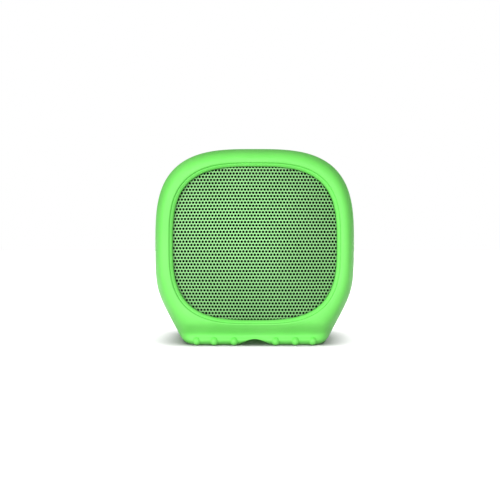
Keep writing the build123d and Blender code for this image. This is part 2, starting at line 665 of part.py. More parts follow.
with BuildPart() as battery_leads:
    for shift in (0.0, 1.3):
        add(lead([(-14.0 - shift, 10.3, 48.6), (-14.0 - shift, 10.3, 51.8), (-9.0, 5.6, 52.6 - shift),
                  (2.0, 2.6, 52.4 - shift), (12.4 + shift, 4.6, 53.6), (12.4 + shift, 9.6, 53.6)], 1.4))
battery_leads.part.label = "battery_leads"
export_step(battery_leads.part, "parts/battery_leads.step")

with BuildPart() as lead_connectors:
    add(block((0, TOP_LEAD_Z), (5.6, 3.2), 9.62, BOARD_FRONT_Y - 0.02, 0.4))
    add(block((13.0, 53.6), (4.6, 3.2), 9.62, BOARD_FRONT_Y - 0.02, 0.4))
lead_connectors.part.label = "lead_connectors"
export_step(lead_connectors.part, "parts/lead_connectors.step")
print("leads")
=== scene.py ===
import json
import math

import bmesh
import bpy
import numpy as np
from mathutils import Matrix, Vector


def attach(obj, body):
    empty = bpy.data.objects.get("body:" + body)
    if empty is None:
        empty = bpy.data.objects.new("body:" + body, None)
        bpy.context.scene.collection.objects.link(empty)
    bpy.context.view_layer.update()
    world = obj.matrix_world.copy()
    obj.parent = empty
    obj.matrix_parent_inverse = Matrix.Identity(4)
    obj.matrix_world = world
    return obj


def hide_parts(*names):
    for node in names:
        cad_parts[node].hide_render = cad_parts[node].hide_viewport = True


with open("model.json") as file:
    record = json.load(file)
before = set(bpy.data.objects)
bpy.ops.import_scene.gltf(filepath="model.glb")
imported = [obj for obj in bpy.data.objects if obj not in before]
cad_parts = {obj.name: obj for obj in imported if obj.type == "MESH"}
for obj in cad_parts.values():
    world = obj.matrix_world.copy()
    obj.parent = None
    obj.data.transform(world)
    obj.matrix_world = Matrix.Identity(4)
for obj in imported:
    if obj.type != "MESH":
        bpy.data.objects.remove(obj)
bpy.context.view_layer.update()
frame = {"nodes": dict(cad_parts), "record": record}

# The body's form, in metres, up to half a millimetre slimmer at the sides than the CAD model.
# The front faces -Y and the feet stand on Z = 0.
MM = 0.001
HALF_DEPTH = 27.0 * MM
WIDEST_Y = 5.0 * MM
HALF_WIDTH = 35.81 * MM
TOP_Z = 68.76 * MM
BASE_Z = -0.4 * MM
CENTRE_Z = 34.17 * MM
GRILLE_Z = 34.55 * MM
WALL_POWER = 3.146
FACE_POWER = 3.1
FLANK_LEAN = math.radians(26.63)
FLANK_REACH = 39.08 * MM
BULGE_POWER = 0.33
UNDERCUT_POWER = 0.75
OPENING_HALF = (27.6 * MM, 25.8 * MM)
RIM_HALF = (29.3 * MM, 27.3 * MM)
BACK_HALF = (26.0 * MM, 24.0 * MM)
FLANK_SHARPNESS = 30
BASE_SHARPNESS = 40
LOW_START = 0.74
LOW_SPAN = 0.14
LEAST_COSINE = 0.05
SKIN = 2.2 * MM
FOOT_PAD = 1.8 * MM
FOOT_ROUND = 7.5 * MM
AROUND = 360

# The lip beside the grille, with its fine groove: growth of the opening, and depth, in millimetres
LIP_PROFILE = [(0.0, -25.7), (0.03, -25.82), (0.1, -25.92), (0.36, -26.12), (0.62, -26.3),
               (0.76, -26.38), (0.84, -26.36), (0.9, -26.3), (0.96, -26.34), (1.0, -26.5),
               (1.04, -26.66), (1.12, -26.82), (1.24, -26.92), (1.42, -26.98), (1.64, -27.0)]
LIP_GAP = 0.03 * MM
LIP_WIDTH = 1.0 * MM

# The back opening, the edge that rolls in to it, and the depths of the rings inside the skin
PANEL_Z = 34.5 * MM
PANEL_HALF = (23.1 * MM, 13.1 * MM)
PANEL_CORNER = 8.1 * MM
BACK_EDGE_GROWTH = 0.35 * MM
BACK_SHARES = [0.15, 0.4, 0.7, 0.9, 1.0]
BACK_EDGE = [(0.18, 26.95), (0.06, 26.83), (0.0, 26.65), (0.0, 24.75)]
INSIDE_DEPTHS = [24.7, 22.0, 17.0, 10.0, 3.0, -5.0, -13.0, -19.0, -22.5, -24.3]

# The feet: each start or end is where a change of form begins, and each span is how far it grows
FRONT_START, FRONT_SPAN = 15 * MM, 5 * MM
SIDE_END, SIDE_SPAN = 28 * MM, 7 * MM
WAIST_DEPTH = 1.3 * MM
WAIST_START, WAIST_START_SPAN = 1.4 * MM, 2.6 * MM
WAIST_END, WAIST_END_SPAN = 8.0 * MM, 4.0 * MM
LEDGE_DEPTH = 0.9 * MM
LEDGE_START, LEDGE_SPAN = 1.2 * MM, 2.6 * MM
ARCH_HALF = 6.9 * MM
ARCH_HEIGHT = 2.0 * MM
MIDDLE_START, MIDDLE_SPAN = 10 * MM, 9 * MM
MIDDLE_FLATNESS = 0.75
SOLE_LIFT = 0.3 * MM
SOLE_START, SOLE_SPAN = 21.6 * MM, 2.4 * MM
SOLE_EDGE = 0.5 * MM
SOLE_DROP = 0.12 * MM
FEET_TOP, FEET_SPAN = 9 * MM, 4 * MM
TOE_RADIUS = 1.42 * MM
TOE_LIFT = 0.12 * MM
TOES = [(7.0 * MM, -24.0 * MM), (13.7 * MM, -23.9 * MM), (19.6 * MM, -23.4 * MM)]

# The grille: a sheet pressed to a sphere, with staggered rows of round holes
GRILLE_HALF = (28.4 * MM, 26.6 * MM)
GRILLE_APEX_Y = -26.6 * MM
GRILLE_RADIUS = 203.0 * MM
GRILLE_SHEET = 0.6 * MM
HOLE_PITCH = 1.093 * MM
HOLE_RADIUS = 0.45 * MM
HOLE_SIDES = 16
HOLE_BORDER = 0.02 * MM
ROWS = range(-25, 25)
COLUMNS = range(-27, 28)

# The controls on the back. A button's sign stands just proud of its dished cap.
BUTTON_Z = 40.5 * MM
BUTTONS = {"minus": -13.5 * MM, "play": 0.0, "plus": 13.5 * MM}
SIGN_Y = 26.72 * MM
SIGN_DEPTH = 0.3 * MM
SIGN_LENGTH = 2.8 * MM
SIGN_WIDTH = 0.62 * MM
SIGN_CORNER = 0.28 * MM
SOCKET_Z = 27.5 * MM
JACK_X = -15.0 * MM
LED_X = 5.5 * MM
SWITCH_X = 15.0 * MM
SWITCH_TRAVEL = 3.0 * MM


# ---------------------------------------------------------------- form
def squircle(half_size, power, angle):
    """Radius of a rounded square at an angle."""
    wide = np.abs(np.cos(angle)) / half_size[0]
    high = np.abs(np.sin(angle)) / half_size[1]
    return (wide**power + high**power) ** (-1 / power)


def soft_minimum(first, second, sharpness):
    """The smaller value, with a rounded change from one to the other."""
    return (first**-sharpness + second**-sharpness) ** (-1 / sharpness)


def smooth_step(value):
    """0 below 0 and 1 above 1, with a smooth rise between."""
    value = np.clip(value, 0, 1)
    return value * value * (3 - 2 * value)


def wall_radius(angle):
    """The body's radius where it is widest: round above, leaning flanks, flat below."""
    high = np.maximum(np.sin(angle), 0) / (TOP_Z - CENTRE_Z)
    wide = np.abs(np.cos(angle)) / HALF_WIDTH
    radius = (wide**WALL_POWER + high**WALL_POWER) ** (-1 / WALL_POWER)
    towards_flank = np.abs(np.cos(angle)) * math.cos(FLANK_LEAN) - np.sin(angle) * math.sin(FLANK_LEAN)
    flank = FLANK_REACH / np.maximum(towards_flank, LEAST_COSINE)
    radius = soft_minimum(radius, flank, FLANK_SHARPNESS)
    base = (CENTRE_Z - BASE_Z) / np.maximum(-np.sin(angle), LEAST_COSINE)
    return soft_minimum(radius, base, BASE_SHARPNESS)


def body_ring(angle, y, inset=0.0):
    """Points (x, z) around the body at one depth, moved inwards by an inset.

    The walls bulge from the end's outline to the widest one. The feet fill out sooner than the walls,
    and the skin is thicker there.
    """
    front = y < WIDEST_Y
    reach = HALF_DEPTH + WIDEST_Y if front else HALF_DEPTH - WIDEST_Y
    from_end = y + HALF_DEPTH if front else HALF_DEPTH - y
    side_share = (1 - max(1 - from_end / reach, 0) ** 2) ** BULGE_POWER
    base_share = (1 - max(1 - from_end / FOOT_ROUND, 0) ** 2) ** UNDERCUT_POWER
    lowness = smooth_step((-np.sin(angle) - LOW_START) / LOW_SPAN)
    share = side_share + (base_share - side_share) * lowness
    end = squircle(RIM_HALF if front else BACK_HALF, FACE_POWER, angle)
    radius = end + (wall_radius(angle) - end) * share - inset
    if inset:
        radius = radius - FOOT_PAD * lowness
    centre_z = GRILLE_Z + (CENTRE_Z - GRILLE_Z) * share
    return radius * np.cos(angle), centre_z + radius * np.sin(angle)


def dome_y(x, z):
    """Depth of the grille's front surface."""
    across = x * x + (z - GRILLE_Z) ** 2
    return GRILLE_APEX_Y + GRILLE_RADIUS - np.sqrt(GRILLE_RADIUS**2 - across)


def face_ring(angle, half_size, grow):
    """Points (x, z) on a rounded square about the grille's centre."""
    radius = squircle((half_size[0] + grow, half_size[1] + grow), FACE_POWER, angle)
    return radius * np.cos(angle), GRILLE_Z + radius * np.sin(angle)


def panel_ring(angle, grow):
    """Points on the back opening's rounded rectangle, one for each angle."""
    half_x, half_z = PANEL_HALF[0] + grow, PANEL_HALF[1] + grow
    corner = PANEL_CORNER + grow
    cos, sin = np.abs(np.cos(angle)), np.abs(np.sin(angle))
    radius = np.minimum(half_x / np.maximum(cos, 1e-6), half_z / np.maximum(sin, 1e-6))
    core_x, core_z = half_x - corner, half_z - corner
    along = core_x * cos + core_z * sin
    reach = along + np.sqrt(np.maximum(along**2 - core_x**2 - core_z**2 + corner**2, 0))
    in_corner = (radius * cos > core_x) & (radius * sin > core_z)
    radius = np.where(in_corner, reach, radius)
    return radius * np.cos(angle), PANEL_Z + radius * np.sin(angle)


def link_object(name, data):
    item = bpy.data.objects.new(name, data)
    bpy.context.scene.collection.objects.link(item)
    return item


def mesh_object(name, vertices, faces, smooth=True):
    mesh = bpy.data.meshes.new(name)
    mesh.from_pydata([tuple(v) for v in vertices], [], faces)
    mesh.validate()
    if smooth:
        mesh.shade_smooth()
    return link_object(name, mesh)


def finish_mesh(name, built, sharp_angle=40):
    """Turn a bmesh into an object, smooth except across its sharp edges."""
    mesh = bpy.data.meshes.new(name)
    built.to_mesh(mesh)
    built.free()
    mesh.shade_smooth()
    mesh.set_sharp_from_angle(angle=math.radians(sharp_angle))
    return link_object(name, mesh)


def close_rings(target, rings):
    """Join rings of vertices into a closed solid with flat ends."""
    for first, second in zip(rings, rings[1:]):
        for step in range(len(first)):
            beside = (step + 1) % len(first)
            target.faces.new([first[step], first[beside], second[beside], second[step]])
    target.faces.new(list(reversed(rings[0])))
    target.faces.new(rings[-1])
    bmesh.ops.recalc_face_normals(target, faces=target.faces)


def skin_rings(angle):
    """Closed loop of rings: lip, rim, outside, back opening, inside, and back to the lip."""
    rings = []

    def add(x, z, y):
        rings.append(np.stack([x, np.broadcast_to(y, x.shape), z], axis=1))

    x, z = face_ring(angle, OPENING_HALF, 0)
    add(x, z, dome_y(x, z) - LIP_GAP)
    for grow, depth in LIP_PROFILE:
        x, z = face_ring(angle, OPENING_HALF, grow * MM)
        add(x, z, depth * MM)
    front_reach = HALF_DEPTH + WIDEST_Y
    for turn in np.concatenate([np.linspace(2, 30, 15), np.linspace(34, 90, 15)]):
        y = WIDEST_Y - front_reach * math.cos(math.radians(turn))
        add(*body_ring(angle, y), y)
    back_reach = HALF_DEPTH - WIDEST_Y
    for turn in np.concatenate([np.linspace(86, 34, 13), np.linspace(30, 0, 14)]):
        y = WIDEST_Y + back_reach * math.cos(math.radians(turn))
        add(*body_ring(angle, y), y)
    outer = body_ring(angle, HALF_DEPTH)
    inner = panel_ring(angle, BACK_EDGE_GROWTH)
    for share in BACK_SHARES:
        x = outer[0] + (inner[0] - outer[0]) * share
        z = outer[1] + (inner[1] - outer[1]) * share
        add(x, z, HALF_DEPTH)
    for grow, depth in BACK_EDGE:
        add(*panel_ring(angle, grow * MM), depth * MM)
    for depth in INSIDE_DEPTHS:
        add(*body_ring(angle, depth * MM, SKIN), depth * MM)
    x, z = face_ring(angle, OPENING_HALF, LIP_WIDTH)
    add(x, z, dome_y(x, z) - LIP_GAP)
    return rings


def shape_feet(points):
    """Draw the front in above the feet, and arch the underside between them."""
    x, y, z = points[..., 0], points[..., 1], points[..., 2]
    front = smooth_step((-y - FRONT_START) / FRONT_SPAN)
    within = smooth_step((SIDE_END - np.abs(x)) / SIDE_SPAN)
    waist = smooth_step((z - WAIST_START) / WAIST_START_SPAN)
    waist = waist * smooth_step((WAIST_END - z) / WAIST_END_SPAN)
    ledge = 1 - smooth_step((z - LEDGE_START) / LEDGE_SPAN)
    y = y + (WAIST_DEPTH * waist - LEDGE_DEPTH * ledge) * front * within
    middle = 1 - smooth_step((np.abs(y) - MIDDLE_START) / MIDDLE_SPAN)
    arch = ARCH_HEIGHT * np.cos(np.clip(x / ARCH_HALF, -1, 1) * math.pi / 2) ** 2
    arch = arch * (1 - MIDDLE_FLATNESS * middle)
    arch = arch + SOLE_LIFT * smooth_step((np.abs(y) - SOLE_START) / SOLE_SPAN)
    raised = 0.5 * (z + arch + np.sqrt((z - arch) ** 2 + SOLE_EDGE**2)) - SOLE_DROP
    low = smooth_step((FEET_TOP - z) / FEET_SPAN)
    z = z + (raised - z) * low
    return np.stack([x, y, np.maximum(z, 0)], axis=-1)


def silicone_skin():
    angle = 2 * math.pi * (np.arange(AROUND) / AROUND)
    grid = np.array(skin_rings(angle))
    outer_count = len(grid) - len(INSIDE_DEPTHS) - 1
    grid = np.concatenate([shape_feet(grid[:outer_count]), grid[outer_count:]])
    count = len(grid)
    index = np.arange(count * AROUND).reshape(count, AROUND).tolist()
    faces = []
    for ring in range(count):
        after = (ring + 1) % count
        for step in range(AROUND):
            beside = (step + 1) % AROUND
            faces.append([index[ring][step], index[ring][beside], index[after][beside], index[after][step]])
    return mesh_object("skin", grid.reshape(-1, 3), faces)


def toe_bumps():
    bumps = bmesh.new()
    for side in (-1, 1):
        for x, y in TOES:
            made = bmesh.ops.create_uvsphere(bumps, u_segments=32, v_segments=20, radius=TOE_RADIUS)
            centre = (side * x, y, TOE_RADIUS + TOE_LIFT)
            bmesh.ops.translate(bumps, verts=made["verts"], vec=centre)
    mesh = bpy.data.meshes.new("toe_bumps")
    bumps.to_mesh(mesh)
    bumps.free()
    mesh.shade_smooth()
    return link_object("toe_bumps", mesh)


def grille_plan():
    """The sheet laid flat: points (x, z), faces, and the loop of points round each hole.

    Each hole sits in its own square cell, cells share their borders, and every second row is shifted
    by half a cell.
    """
    half = HOLE_PITCH / 2
    limit = (GRILLE_HALF[0] - HOLE_BORDER, GRILLE_HALF[1] - HOLE_BORDER)
    turns = 2 * math.pi * np.arange(HOLE_SIDES) / HOLE_SIDES
    border_steps = [(1, 0), (1, 1), (0, 1), (-1, 1), (-1, 0), (-1, -1), (0, -1), (1, -1)]
    flat = []
    border_index = {}
    faces = []
    holes = []

    def inside(x, z, margin):
        wide = abs(x) / (limit[0] - margin)
        high = abs(z) / (limit[1] - margin)
        return wide**FACE_POWER + high**FACE_POWER < 1

    def border_vertex(across, up):
        """Index of a border point, drawn in to the sheet's edge if it lies beyond it."""
        key = (across, up)
        if key not in border_index:
            x, z = across * half, up * half
            angle = math.atan2(z, x)
            radius = min(math.hypot(x, z), float(squircle(limit, FACE_POWER, angle)))
            border_index[key] = len(flat)
            flat.append((radius * math.cos(angle), radius * math.sin(angle)))
        return border_index[key]

    for row in ROWS:
        for column in COLUMNS:
            across = 2 * column + (row % 2)
            up = 2 * row + 1
            x, z = across * half, up * half
            if not inside(x, z, -0.55 * HOLE_PITCH):
                continue
            corners = [border_vertex(across + a, up + b) for a, b in border_steps]
            if not inside(x, z, HOLE_RADIUS + HOLE_BORDER):
                faces.append(corners)
                continue
            hole = [len(flat) + step for step in range(HOLE_SIDES)]
            flat += [(x + HOLE_RADIUS * math.cos(turn), z + HOLE_RADIUS * math.sin(turn)) for turn in turns]
            holes.append(hole)
            for side in range(8):
                a, b, c = hole[2 * side], hole[2 * side + 1], hole[(2 * side + 2) % HOLE_SIDES]
                faces.append([corners[side], corners[(side + 1) % 8], c, b, a])
    return np.array(flat), faces, holes


def outer_edges(faces, holes):
    """Edges that only one face uses, apart from those round the holes."""
    edges = {}
    for face in faces:
        for a, b in zip(face, face[1:] + face[:1]):
            edges[(a, b)] = True
    in_hole = {v for hole in holes for v in hole}
    return [(a, b) for a, b in edges if (b, a) not in edges and not (a in in_hole and b in in_hole)]


def perforated_grille():
    """The flat sheet, domed and given its thickness."""
    flat, front_faces, holes = grille_plan()
    x, z = flat[:, 0], flat[:, 1] + GRILLE_Z
    front_y = dome_y(x, z)
    front = np.stack([x, front_y, z], axis=1)
    back = np.stack([x, front_y + GRILLE_SHEET, z], axis=1)
    count = len(flat)
    faces = [list(face) for face in front_faces]
    faces += [[count + v for v in reversed(face)] for face in front_faces]
    for hole in holes:
        for step in range(HOLE_SIDES):
            after = hole[(step + 1) % HOLE_SIDES]
            faces.append([hole[step], after, count + after, count + hole[step]])
    faces += [[b, a, count + a, count + b] for a, b in outer_edges(front_faces, holes)]
    piece = mesh_object("perforated_grille", np.concatenate([front, back]), faces, smooth=False)
    joined = bmesh.new()
    joined.from_mesh(piece.data)
    bmesh.ops.remove_doubles(joined, verts=joined.verts, dist=0.002 * MM)
    bmesh.ops.recalc_face_normals(joined, faces=joined.faces)
    joined.to_mesh(piece.data)
    joined.free()
    return piece


def lathe(name, outline, centre, steps=64):
    """Solid turned about a line along Y through a centre (x, z), from (radius, y) in millimetres."""
    turned = bmesh.new()
    turns = [2 * math.pi * step / steps for step in range(steps)]
    rings = []
    for radius, y in [(radius * MM, y * MM) for radius, y in outline]:
        if radius == 0:
            rings.append([turned.verts.new((centre[0], y, centre[1]))])
            continue
        ring = []
        for turn in turns:
            x = centre[0] + radius * math.cos(turn)
            z = centre[1] + radius * math.sin(turn)
            ring.append(turned.verts.new((x, y, z)))
        rings.append(ring)
    for first, second in zip(rings, rings[1:]):
        for step in range(steps):
            beside = (step + 1) % steps
            corners = [first[step % len(first)], first[beside % len(first)],
                       second[beside % len(second)], second[step % len(second)]]
            corners = list(dict.fromkeys(corners))
            if len(corners) > 2:
                turned.faces.new(corners)
    bmesh.ops.recalc_face_normals(turned, faces=turned.faces)
    return finish_mesh(name, turned)


def rounded_bar(target, centre, size, face_y, depth, corner):
    """Add to a mesh a raised bar across Y, with rounded corners and a softened front edge."""
    outline = []
    for quadrant in range(4):
        side_x = 1 if quadrant in (0, 3) else -1
        side_z = 1 if quadrant in (0, 1) else -1
        for step in range(7):
            turn = math.pi / 2 * (quadrant + step / 6)
            outline.append((side_x * (size[0] / 2 - corner) + corner * math.cos(turn),
                            side_z * (size[1] / 2 - corner) + corner * math.sin(turn)))
    soft = 0.3 * corner
    levels = [(0, face_y - depth), (0, face_y - soft), (soft * 0.3, face_y - soft * 0.3), (soft, face_y)]
    rings = []
    for shrink, y in levels:
        scale_x, scale_z = 1 - 2 * shrink / size[0], 1 - 2 * shrink / size[1]
        places = [(centre[0] + x * scale_x, y, centre[1] + z * scale_z) for x, z in outline]
        rings.append([target.verts.new(place) for place in places])
    close_rings(target, rings)


def button_cap(name, x):
    """A dished cap with a rolled edge, its flange and its stem."""
    outline = [(0, 26.5), (1.4, 26.52), (2.5, 26.6), (3.1, 26.72), (3.4, 26.82), (3.58, 26.85),
               (3.76, 26.81), (3.9, 26.69), (3.98, 26.5), (4.0, 26.3), (4.0, 24.5), (4.8, 24.5),
               (4.8, 23.3), (1.5, 23.3), (1.5, 18.42), (0, 18.42)]
    return lathe(name, outline, (x, BUTTON_Z))


def rounded_triangle(target, centre):
    """Add the raised play sign, which points towards -X, to a mesh."""
    thirds = [0, 2 * math.pi / 3, 4 * math.pi / 3]
    levels = [(SIGN_Y - SIGN_DEPTH, 1.55 * MM), (SIGN_Y - 0.05 * MM, 1.55 * MM), (SIGN_Y, 1.45 * MM)]
    rings = []
    for y, size in levels:
        ring = []
        for third in thirds:
            for nudge in (-0.25, -0.1, 0.1, 0.25):
                reach = size * (1 - 0.35 * abs(nudge) ** 1.5)
                x = centre[0] - reach * math.cos(third + nudge)
                z = centre[1] + reach * math.sin(third + nudge)
                ring.append(target.verts.new((x, y, z)))
        rings.append(ring)
    close_rings(target, rings)


def glyph(name, x):
    """The raised sign on a button: bars, or a triangle. A plus's upright is a hair lower."""
    built = bmesh.new()
    centre = (x, BUTTON_Z)
    if name in ("minus", "plus"):
        rounded_bar(built, centre, (SIGN_LENGTH, SIGN_WIDTH), SIGN_Y, SIGN_DEPTH, SIGN_CORNER)
    if name == "plus":
        upright_y = SIGN_Y - 0.02 * MM
        rounded_bar(built, centre, (SIGN_WIDTH, SIGN_LENGTH), upright_y, SIGN_DEPTH, SIGN_CORNER)
    if name == "play":
        rounded_triangle(built, centre)
    return finish_mesh(f"glyph_{name}", built)


def jack_ring():
    """Metal washer in the mouth of the headphone-sized socket."""
    outline = [(1.78, 25.2), (1.78, 26.1), (1.84, 26.2), (1.95, 26.24), (2.3, 26.24), (2.42, 26.18),
               (2.46, 26.05), (2.46, 25.2), (1.78, 25.2)]
    return lathe("jack_ring", outline, (JACK_X, SOCKET_Z))


def light_window():
    """Light pipe with a domed end."""
    outline = [(0, 26.22), (0.4, 26.2), (0.7, 26.12), (0.88, 26.0), (0.96, 25.85), (0.98, 25.6),
               (0.98, 16.6), (0, 16.6)]
    return lathe("light_window", outline, (LED_X, SOCKET_Z))


def switch_knob():
    """Sliding knob with rounded ridges across its face, on a broad foot behind the panel."""
    built = bmesh.new()
    x = SWITCH_X - SWITCH_TRAVEL / 2
    rounded_bar(built, (x, SOCKET_Z), (7.4 * MM, 4.0 * MM), 24.3 * MM, 1.1 * MM, 0.4 * MM)
    rounded_bar(built, (x, SOCKET_Z), (3.0 * MM, 2.2 * MM), 26.45 * MM, 7.0 * MM, 0.3 * MM)
    for shift in (-1.05, -0.35, 0.35, 1.05):
        centre = (x + shift * MM, SOCKET_Z)
        rounded_bar(built, centre, (0.42 * MM, 2.1 * MM), 26.7 * MM, 0.35 * MM, 0.19 * MM)
    return finish_mesh("switch_knob", built)


# ---------------------------------------------------------------- materials
def new_material(name):
    material = bpy.data.materials.new(name)
    material.use_nodes = True
    nodes = material.node_tree.nodes
    shader = nodes["Principled BSDF"]
    return material, nodes, material.node_tree.links, shader


def object_point(nodes, links, scale):
    """Object coordinates scaled to a texture's size; objects sit at the origin, in metres."""
    where = nodes.new("ShaderNodeTexCoord")
    mapping = nodes.new("ShaderNodeMapping")
    mapping.inputs["Scale"].default_value = scale if isinstance(scale, tuple) else (scale,) * 3
    links.new(where.outputs["Object"], mapping.inputs["Vector"])
    return mapping.outputs["Vector"]


def noise(nodes, links, scale, detail=4.0, roughness=0.55):
    texture = nodes.new("ShaderNodeTexNoise")
    texture.inputs["Scale"].default_value = 1.0
    texture.inputs["Detail"].default_value = detail
    texture.inputs["Roughness"].default_value = roughness
    links.new(object_point(nodes, links, scale), texture.inputs["Vector"])
    return texture.outputs["Fac"]


def ramp(nodes, links, source, stops):
    """Colour ramp through stops of (position, colour)."""
    mapped = nodes.new("ShaderNodeValToRGB")
    while len(mapped.color_ramp.elements) < len(stops):
        mapped.color_ramp.elements.new(0.5)
    for element, (position, colour) in zip(mapped.color_ramp.elements, stops):
        element.position = position
        element.color = colour if len(colour) == 4 else (*colour, 1)
    links.new(source, mapped.inputs["Fac"])
    return mapped.outputs["Color"]


def grey(value):
    return (value, value, value)


def bump(nodes, links, shader, height, strength, distance):
    node = nodes.new("ShaderNodeBump")
    node.inputs["Strength"].default_value = strength
    node.inputs["Distance"].default_value = distance
    links.new(height, node.inputs["Height"])
    links.new(node.outputs["Normal"], shader.inputs["Normal"])


def moulded(name, dark, light, roughness, spread=0.06, grain=9000.0, depth=0.00002, strength=0.25):
    """Moulded plastic or rubber: a slow tint, an uneven sheen, and a fine grain of a given depth."""
    material, nodes, links, shader = new_material(name)
    tint = noise(nodes, links, 60.0, 3.0)
    links.new(ramp(nodes, links, tint, [(0.3, dark), (0.7, light)]), shader.inputs["Base Color"])
    patches = noise(nodes, links, 240.0, 5.0)
    finish = ramp(nodes, links, patches, [(0.3, grey(roughness - spread)), (0.7, grey(roughness + spread))])
    links.new(finish, shader.inputs["Roughness"])
    fine = noise(nodes, links, grain, 2.0)
    bump(nodes, links, shader, fine, strength, depth)
    return material


def silicone_material():
    """Soft bright silicone that lets a little light in."""
    material = moulded("green_silicone", (0.175, 0.800, 0.118), (0.215, 0.860, 0.150), 0.50, 0.05,
                       5200.0, 0.00003, 0.12)
    shader = material.node_tree.nodes["Principled BSDF"]
    shader.inputs["Subsurface Weight"].default_value = 0.12
    shader.inputs["Subsurface Radius"].default_value = (0.6, 1.0, 0.4)
    shader.inputs["Subsurface Scale"].default_value = 0.0012
    shader.inputs["Specular IOR Level"].default_value = 0.35
    return material


def grille_material():
    """Satin green paint with a fine metal flake."""
    material = moulded("grille_paint", (0.18, 0.45, 0.147), (0.208, 0.49, 0.172), 0.44, 0.03,
                       14000.0, 0.00001, 0.2)
    shader = material.node_tree.nodes["Principled BSDF"]
    shader.inputs["Metallic"].default_value = 0.35
    return material


def woven(name, dark, light, pitch, roughness, gloss=0.3):
    """Cloth of crossing threads, woven at a pitch in metres, seen along Y."""
    material, nodes, links, shader = new_material(name)
    heights = []
    for turn in (0.0, math.pi / 2):
        wave = nodes.new("ShaderNodeTexWave")
        wave.wave_type = "BANDS"
        wave.bands_direction = "X"
        wave.inputs["Scale"].default_value = 1.0
        where = nodes.new("ShaderNodeTexCoord")
        mapping = nodes.new("ShaderNodeMapping")
        mapping.inputs["Rotation"].default_value = (0, turn, 0)
        mapping.inputs["Scale"].default_value = (0.31 / pitch,) * 3
        links.new(where.outputs["Object"], mapping.inputs["Vector"])
        links.new(mapping.outputs["Vector"], wave.inputs["Vector"])
        heights.append(wave.outputs["Fac"])
    both = nodes.new("ShaderNodeMath")
    both.operation = "MULTIPLY"
    links.new(heights[0], both.inputs[0])
    links.new(heights[1], both.inputs[1])
    links.new(ramp(nodes, links, both.outputs[0], [(0.1, dark), (0.8, light)]), shader.inputs["Base Color"])
    shader.inputs["Roughness"].default_value = roughness
    shader.inputs["Specular IOR Level"].default_value = gloss
    bump(nodes, links, shader, both.outputs[0], 0.6, pitch * 0.4)
    return material


def brushed(name, dark, light, roughness, metallic=1.0):
    """Metal with fine streaks along X and small spots of tarnish."""
    material, nodes, links, shader = new_material(name)
    streaks = noise(nodes, links, (150.0, 9000.0, 9000.0), 3.0)
    links.new(ramp(nodes, links, streaks, [(0.3, dark), (0.7, light)]), shader.inputs["Base Color"])
    spots = noise(nodes, links, 900.0, 6.0)
    finish = ramp(nodes, links, spots, [(0.35, grey(roughness * 0.8)), (0.7, grey(roughness * 1.35))])
    links.new(finish, shader.inputs["Roughness"])
    shader.inputs["Metallic"].default_value = metallic
    bump(nodes, links, shader, streaks, 0.08, 0.00002)
    return material


SLOT_MATERIALS = {
    "silicone_green": silicone_material,
    "grille_metal": grille_material,
    "speaker_cloth": lambda: woven("speaker_cloth", (0.0006, 0.001, 0.0006), (0.003, 0.006, 0.003),
                                   0.00025, 0.9, 0.12),
    "case_plastic": lambda: moulded("case_plastic", grey(0.016), grey(0.024), 0.55),
    "panel_plastic": lambda: moulded("panel_plastic", grey(0.010), grey(0.017), 0.46, 0.05,
                                     6000.0, 0.00004, 0.3),
    "button_plastic": lambda: moulded("button_plastic", (0.62, 0.66, 0.61), (0.70, 0.73, 0.69), 0.38, 0.05),
    "foam": lambda: moulded("foam", grey(0.006), grey(0.02), 0.95, 0.03, 2500.0, 0.0002, 0.8),
    "surround_rubber": lambda: moulded("surround_rubber", grey(0.008), grey(0.014), 0.6),
    "paper_cone": lambda: moulded("paper_cone", grey(0.012), grey(0.03), 0.85, 0.05, 1800.0, 0.0001, 0.6),
    "spider_cloth": lambda: woven("spider_cloth", (0.20, 0.10, 0.02), (0.45, 0.26, 0.07), 0.0004, 0.8),
    "steel": lambda: brushed("steel", (0.42, 0.43, 0.45), (0.58, 0.59, 0.60), 0.34),
    "screw_steel": lambda: brushed("screw_steel", (0.30, 0.31, 0.33), (0.45, 0.46, 0.47), 0.36),
    "nickel": lambda: brushed("nickel", (0.62, 0.60, 0.57), (0.75, 0.73, 0.70), 0.22),
    "ferrite": lambda: moulded("ferrite", grey(0.018), grey(0.035), 0.5, 0.08, 3000.0, 0.00006, 0.5),
    "kapton": lambda: moulded("kapton", (0.45, 0.17, 0.02), (0.55, 0.22, 0.03), 0.25),
    "copper": lambda: brushed("copper", (0.60, 0.22, 0.09), (0.80, 0.34, 0.16), 0.3),
    "board": lambda: moulded("board", (0.006, 0.08, 0.025), (0.010, 0.12, 0.04), 0.35),
    "chip_epoxy": lambda: moulded("chip_epoxy", grey(0.008), grey(0.015), 0.5),
    "capacitor_sleeve": lambda: moulded("capacitor_sleeve", (0.006, 0.01, 0.05), (0.01, 0.015, 0.08), 0.3),
    "battery_wrap": lambda: brushed("battery_wrap", (0.50, 0.51, 0.52), (0.66, 0.67, 0.68), 0.42, 0.8),
    "connector_nylon": lambda: moulded("connector_nylon", (0.62, 0.58, 0.46), (0.70, 0.66, 0.54), 0.5),
    "wire_red": lambda: moulded("wire_red", (0.35, 0.01, 0.008), (0.45, 0.015, 0.01), 0.35),
    "wire_black": lambda: moulded("wire_black", grey(0.006), grey(0.012), 0.35),
    "clear_plastic": lambda: moulded("clear_plastic", (0.55, 0.60, 0.62), (0.65, 0.70, 0.72), 0.2),
}
made_materials = {}


def slot_material(slot_name):
    if slot_name not in made_materials:
        made_materials[slot_name] = SLOT_MATERIALS[slot_name]()
    return made_materials[slot_name]


def dress(piece, slot_name):
    piece.data.materials.clear()
    piece.data.materials.append(slot_material(slot_name))


def add_piece(piece, body, slot_name, *nodes):
    """Give a piece its material, its body and its slot, and hide the CAD nodes that it replaces."""
    dress(piece, slot_name)
    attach(piece, body)
    if nodes:
        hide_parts(*nodes)


